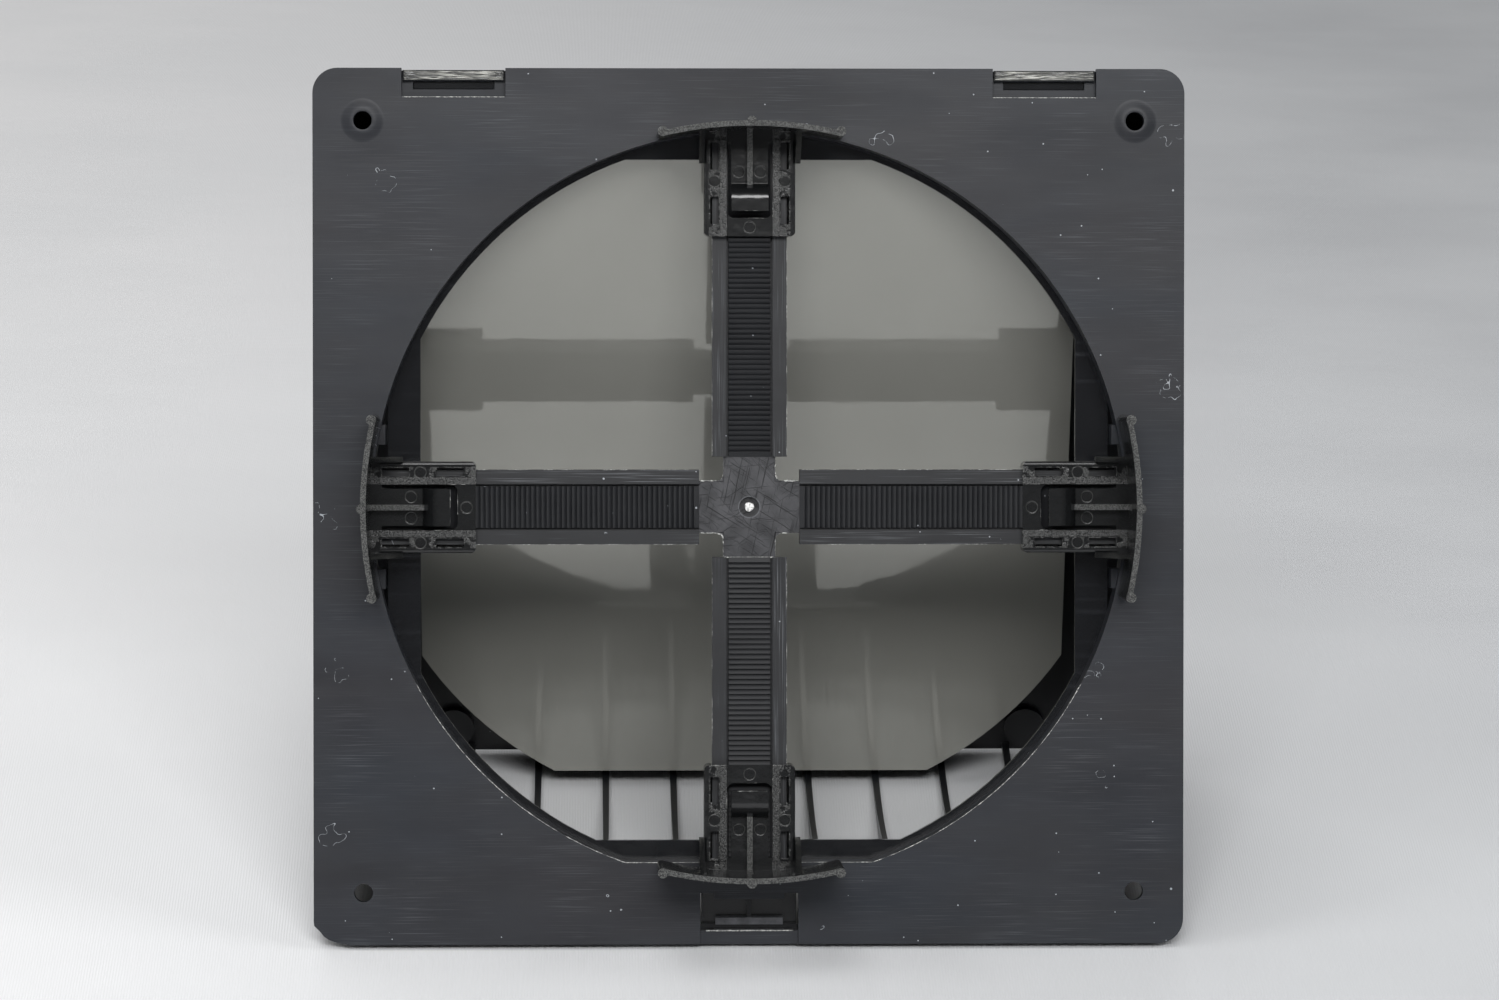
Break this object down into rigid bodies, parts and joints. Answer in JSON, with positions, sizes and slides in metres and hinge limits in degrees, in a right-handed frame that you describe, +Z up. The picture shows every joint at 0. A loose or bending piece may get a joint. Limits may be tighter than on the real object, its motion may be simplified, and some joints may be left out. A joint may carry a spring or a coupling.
{
  "type": "hooded vent grille",
  "caption": "Square wall vent grille with a finned, sloping hood, a hanging backdraught flap, and ratchet clips on a cross that grip the duct.",
  "frame": {"origin": "centre of the duct opening and of the four screw holes, on the back face of the base plate", "axes": "+X to the right seen from behind (the wall side), +Y out of the wall towards the front of the hood, +Z up as mounted"},
  "size_m": [0.175, 0.101, 0.176],
  "materials": {
    "plate": "satin moulded ABS, anthracite",
    "frame": "polished moulded ABS, anthracite",
    "flap": "glossy moulded ABS, grey",
    "hood": "moulded ABS, anthracite",
    "clip": "spark-eroded moulded ABS, dark grey"
  },
  "bodies": {
    "base": {"base_plate": "plate", "valve_frame": "frame", "hood": "hood"},
    "flap": {"flap": "flap"},
    "clip_right": {"clip_right": "clip"},
    "clip_bottom": {"clip_bottom": "clip"},
    "clip_left": {"clip_left": "clip"},
    "clip_top": {"clip_top": "clip"}
  },
  "joints": [
    {"name": "flap_swing", "type": "hinge", "parent": "base", "child": "flap", "pos_m": [0, 0.0106, 0.075], "axis": [1, 0, 0], "range_deg": [-22.8, 5]},
    {"name": "clip_right_slide", "type": "slide", "parent": "base", "child": "clip_right", "axis": [1, 0, 0], "range_m": [-0.04, 0.0009]},
    {"name": "clip_bottom_slide", "type": "slide", "parent": "base", "child": "clip_bottom", "axis": [0, 0, -1], "range_m": [-0.04, 0.0004]},
    {"name": "clip_left_slide", "type": "slide", "parent": "base", "child": "clip_left", "axis": [-1, 0, 0], "range_m": [-0.04, 0.0009]},
    {"name": "clip_top_slide", "type": "slide", "parent": "base", "child": "clip_top", "axis": [0, 0, 1], "range_m": [-0.04, 0.0014]}
  ]
}
